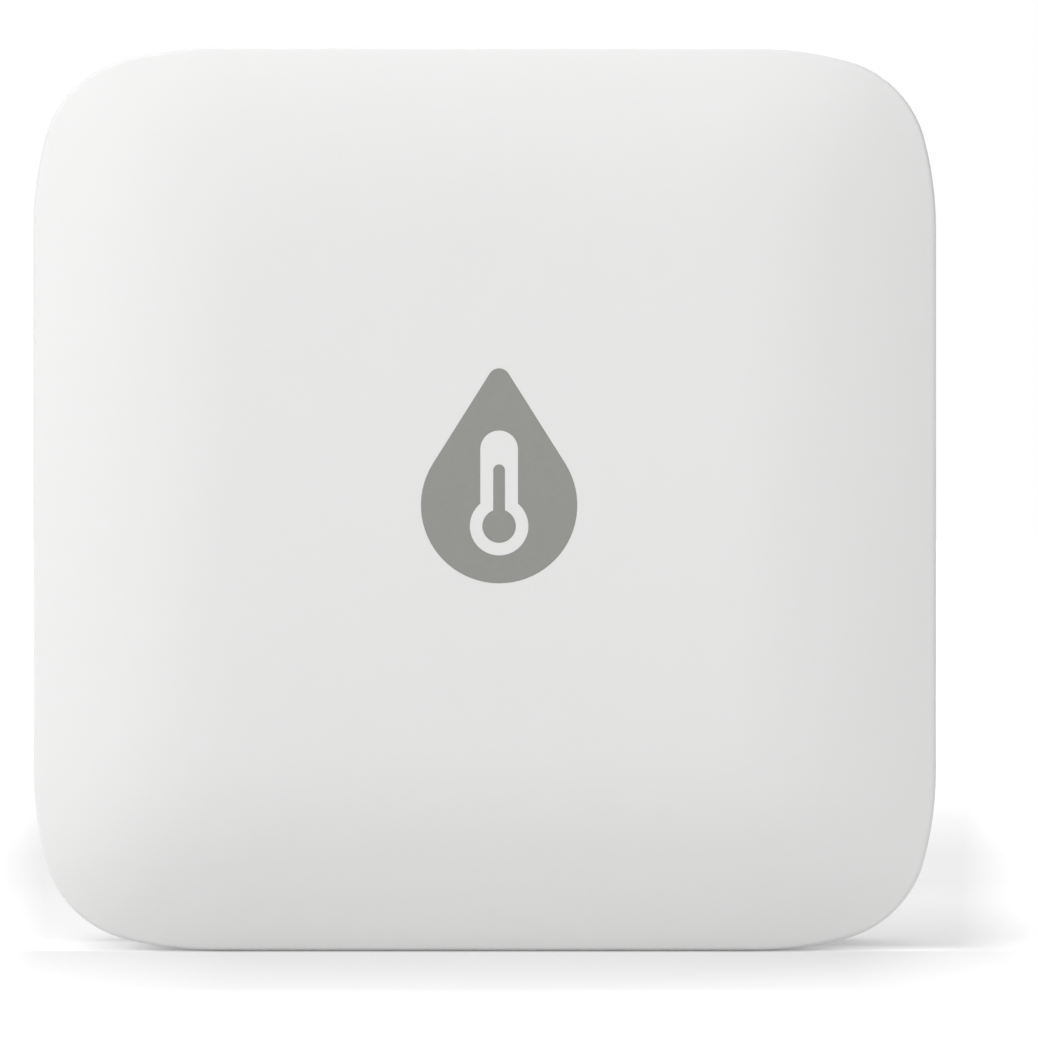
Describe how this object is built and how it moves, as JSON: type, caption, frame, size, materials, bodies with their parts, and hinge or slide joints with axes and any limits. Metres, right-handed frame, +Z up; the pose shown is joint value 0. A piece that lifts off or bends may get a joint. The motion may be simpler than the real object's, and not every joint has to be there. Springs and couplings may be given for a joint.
{
  "type": "temperature humidity sensor",
  "caption": "Square crowned sensor in a two-shell case with side vents, a hinged battery door and a keyhole for a wall screw.",
  "frame": {"origin": "centre of the bounding box's bottom face, under the middle of the body", "axes": "+Z up with the sensor standing on its bottom edge, the crowned face towards -Y, +X to the right seen from the front"},
  "size_m": [0.065, 0.023, 0.065],
  "materials": {
    "shell_white": "fine matt texture",
    "button_white": "fine matt texture",
    "board_green": "solder mask",
    "module_blue": "solder mask",
    "shield_steel": "tinned",
    "chip_black": "moulded",
    "chip_tan": "fired",
    "capacitor_can": "drawn",
    "ferrite_grey": "pressed",
    "switch_black": "moulded",
    "lamp_cream": "cast",
    "clear_plastic": "polished",
    "screw_zinc": "zinc plated",
    "contact_nickel": "nickel plated",
    "cell_can": "bright",
    "cell_sleeve": "printed film",
    "foam_grey": "open foam"
  },
  "bodies": {
    "housing": {"front_cover": "shell_white", "rear_housing": "shell_white", "tact_switch": "switch_black", "light_pipe": "clear_plastic", "status_led": "lamp_cream", "circuit_board": "board_green", "humidity_sensor": "chip_black", "chamber_gasket": "foam_grey", "wifi_module_board": "module_blue", "wifi_shield": "shield_steel", "bulk_capacitor": "capacitor_can", "power_inductor": "ferrite_grey", "board_chips": "chip_black", "chip_parts": "chip_tan", "housing_screws": "screw_zinc", "board_screws": "screw_zinc", "upper_cell": "cell_can", "upper_cell_sleeve": "cell_sleeve", "lower_cell": "cell_can", "lower_cell_sleeve": "cell_sleeve", "bridge_plate": "contact_nickel", "negative_plate": "contact_nickel", "positive_plate": "contact_nickel", "negative_spring": "contact_nickel", "bridge_spring": "contact_nickel"},
    "door": {"battery_door": "shell_white", "door_pad": "foam_grey"},
    "button": {"pairing_button": "button_white", "switch_plunger": "switch_black"}
  },
  "joints": [
    {"name": "battery_door_hinge", "type": "hinge", "parent": "housing", "child": "door", "pos_m": [0, 0.0103, 0.0145], "axis": [-1, 0, 0], "range_deg": [0, 100]},
    {"name": "pairing_button_press", "type": "slide", "parent": "housing", "child": "button", "axis": [0, 0, -1], "range_m": [0, 0.0004], "stiffness_N_per_m": 400, "springref_m": -0.0005}
  ]
}
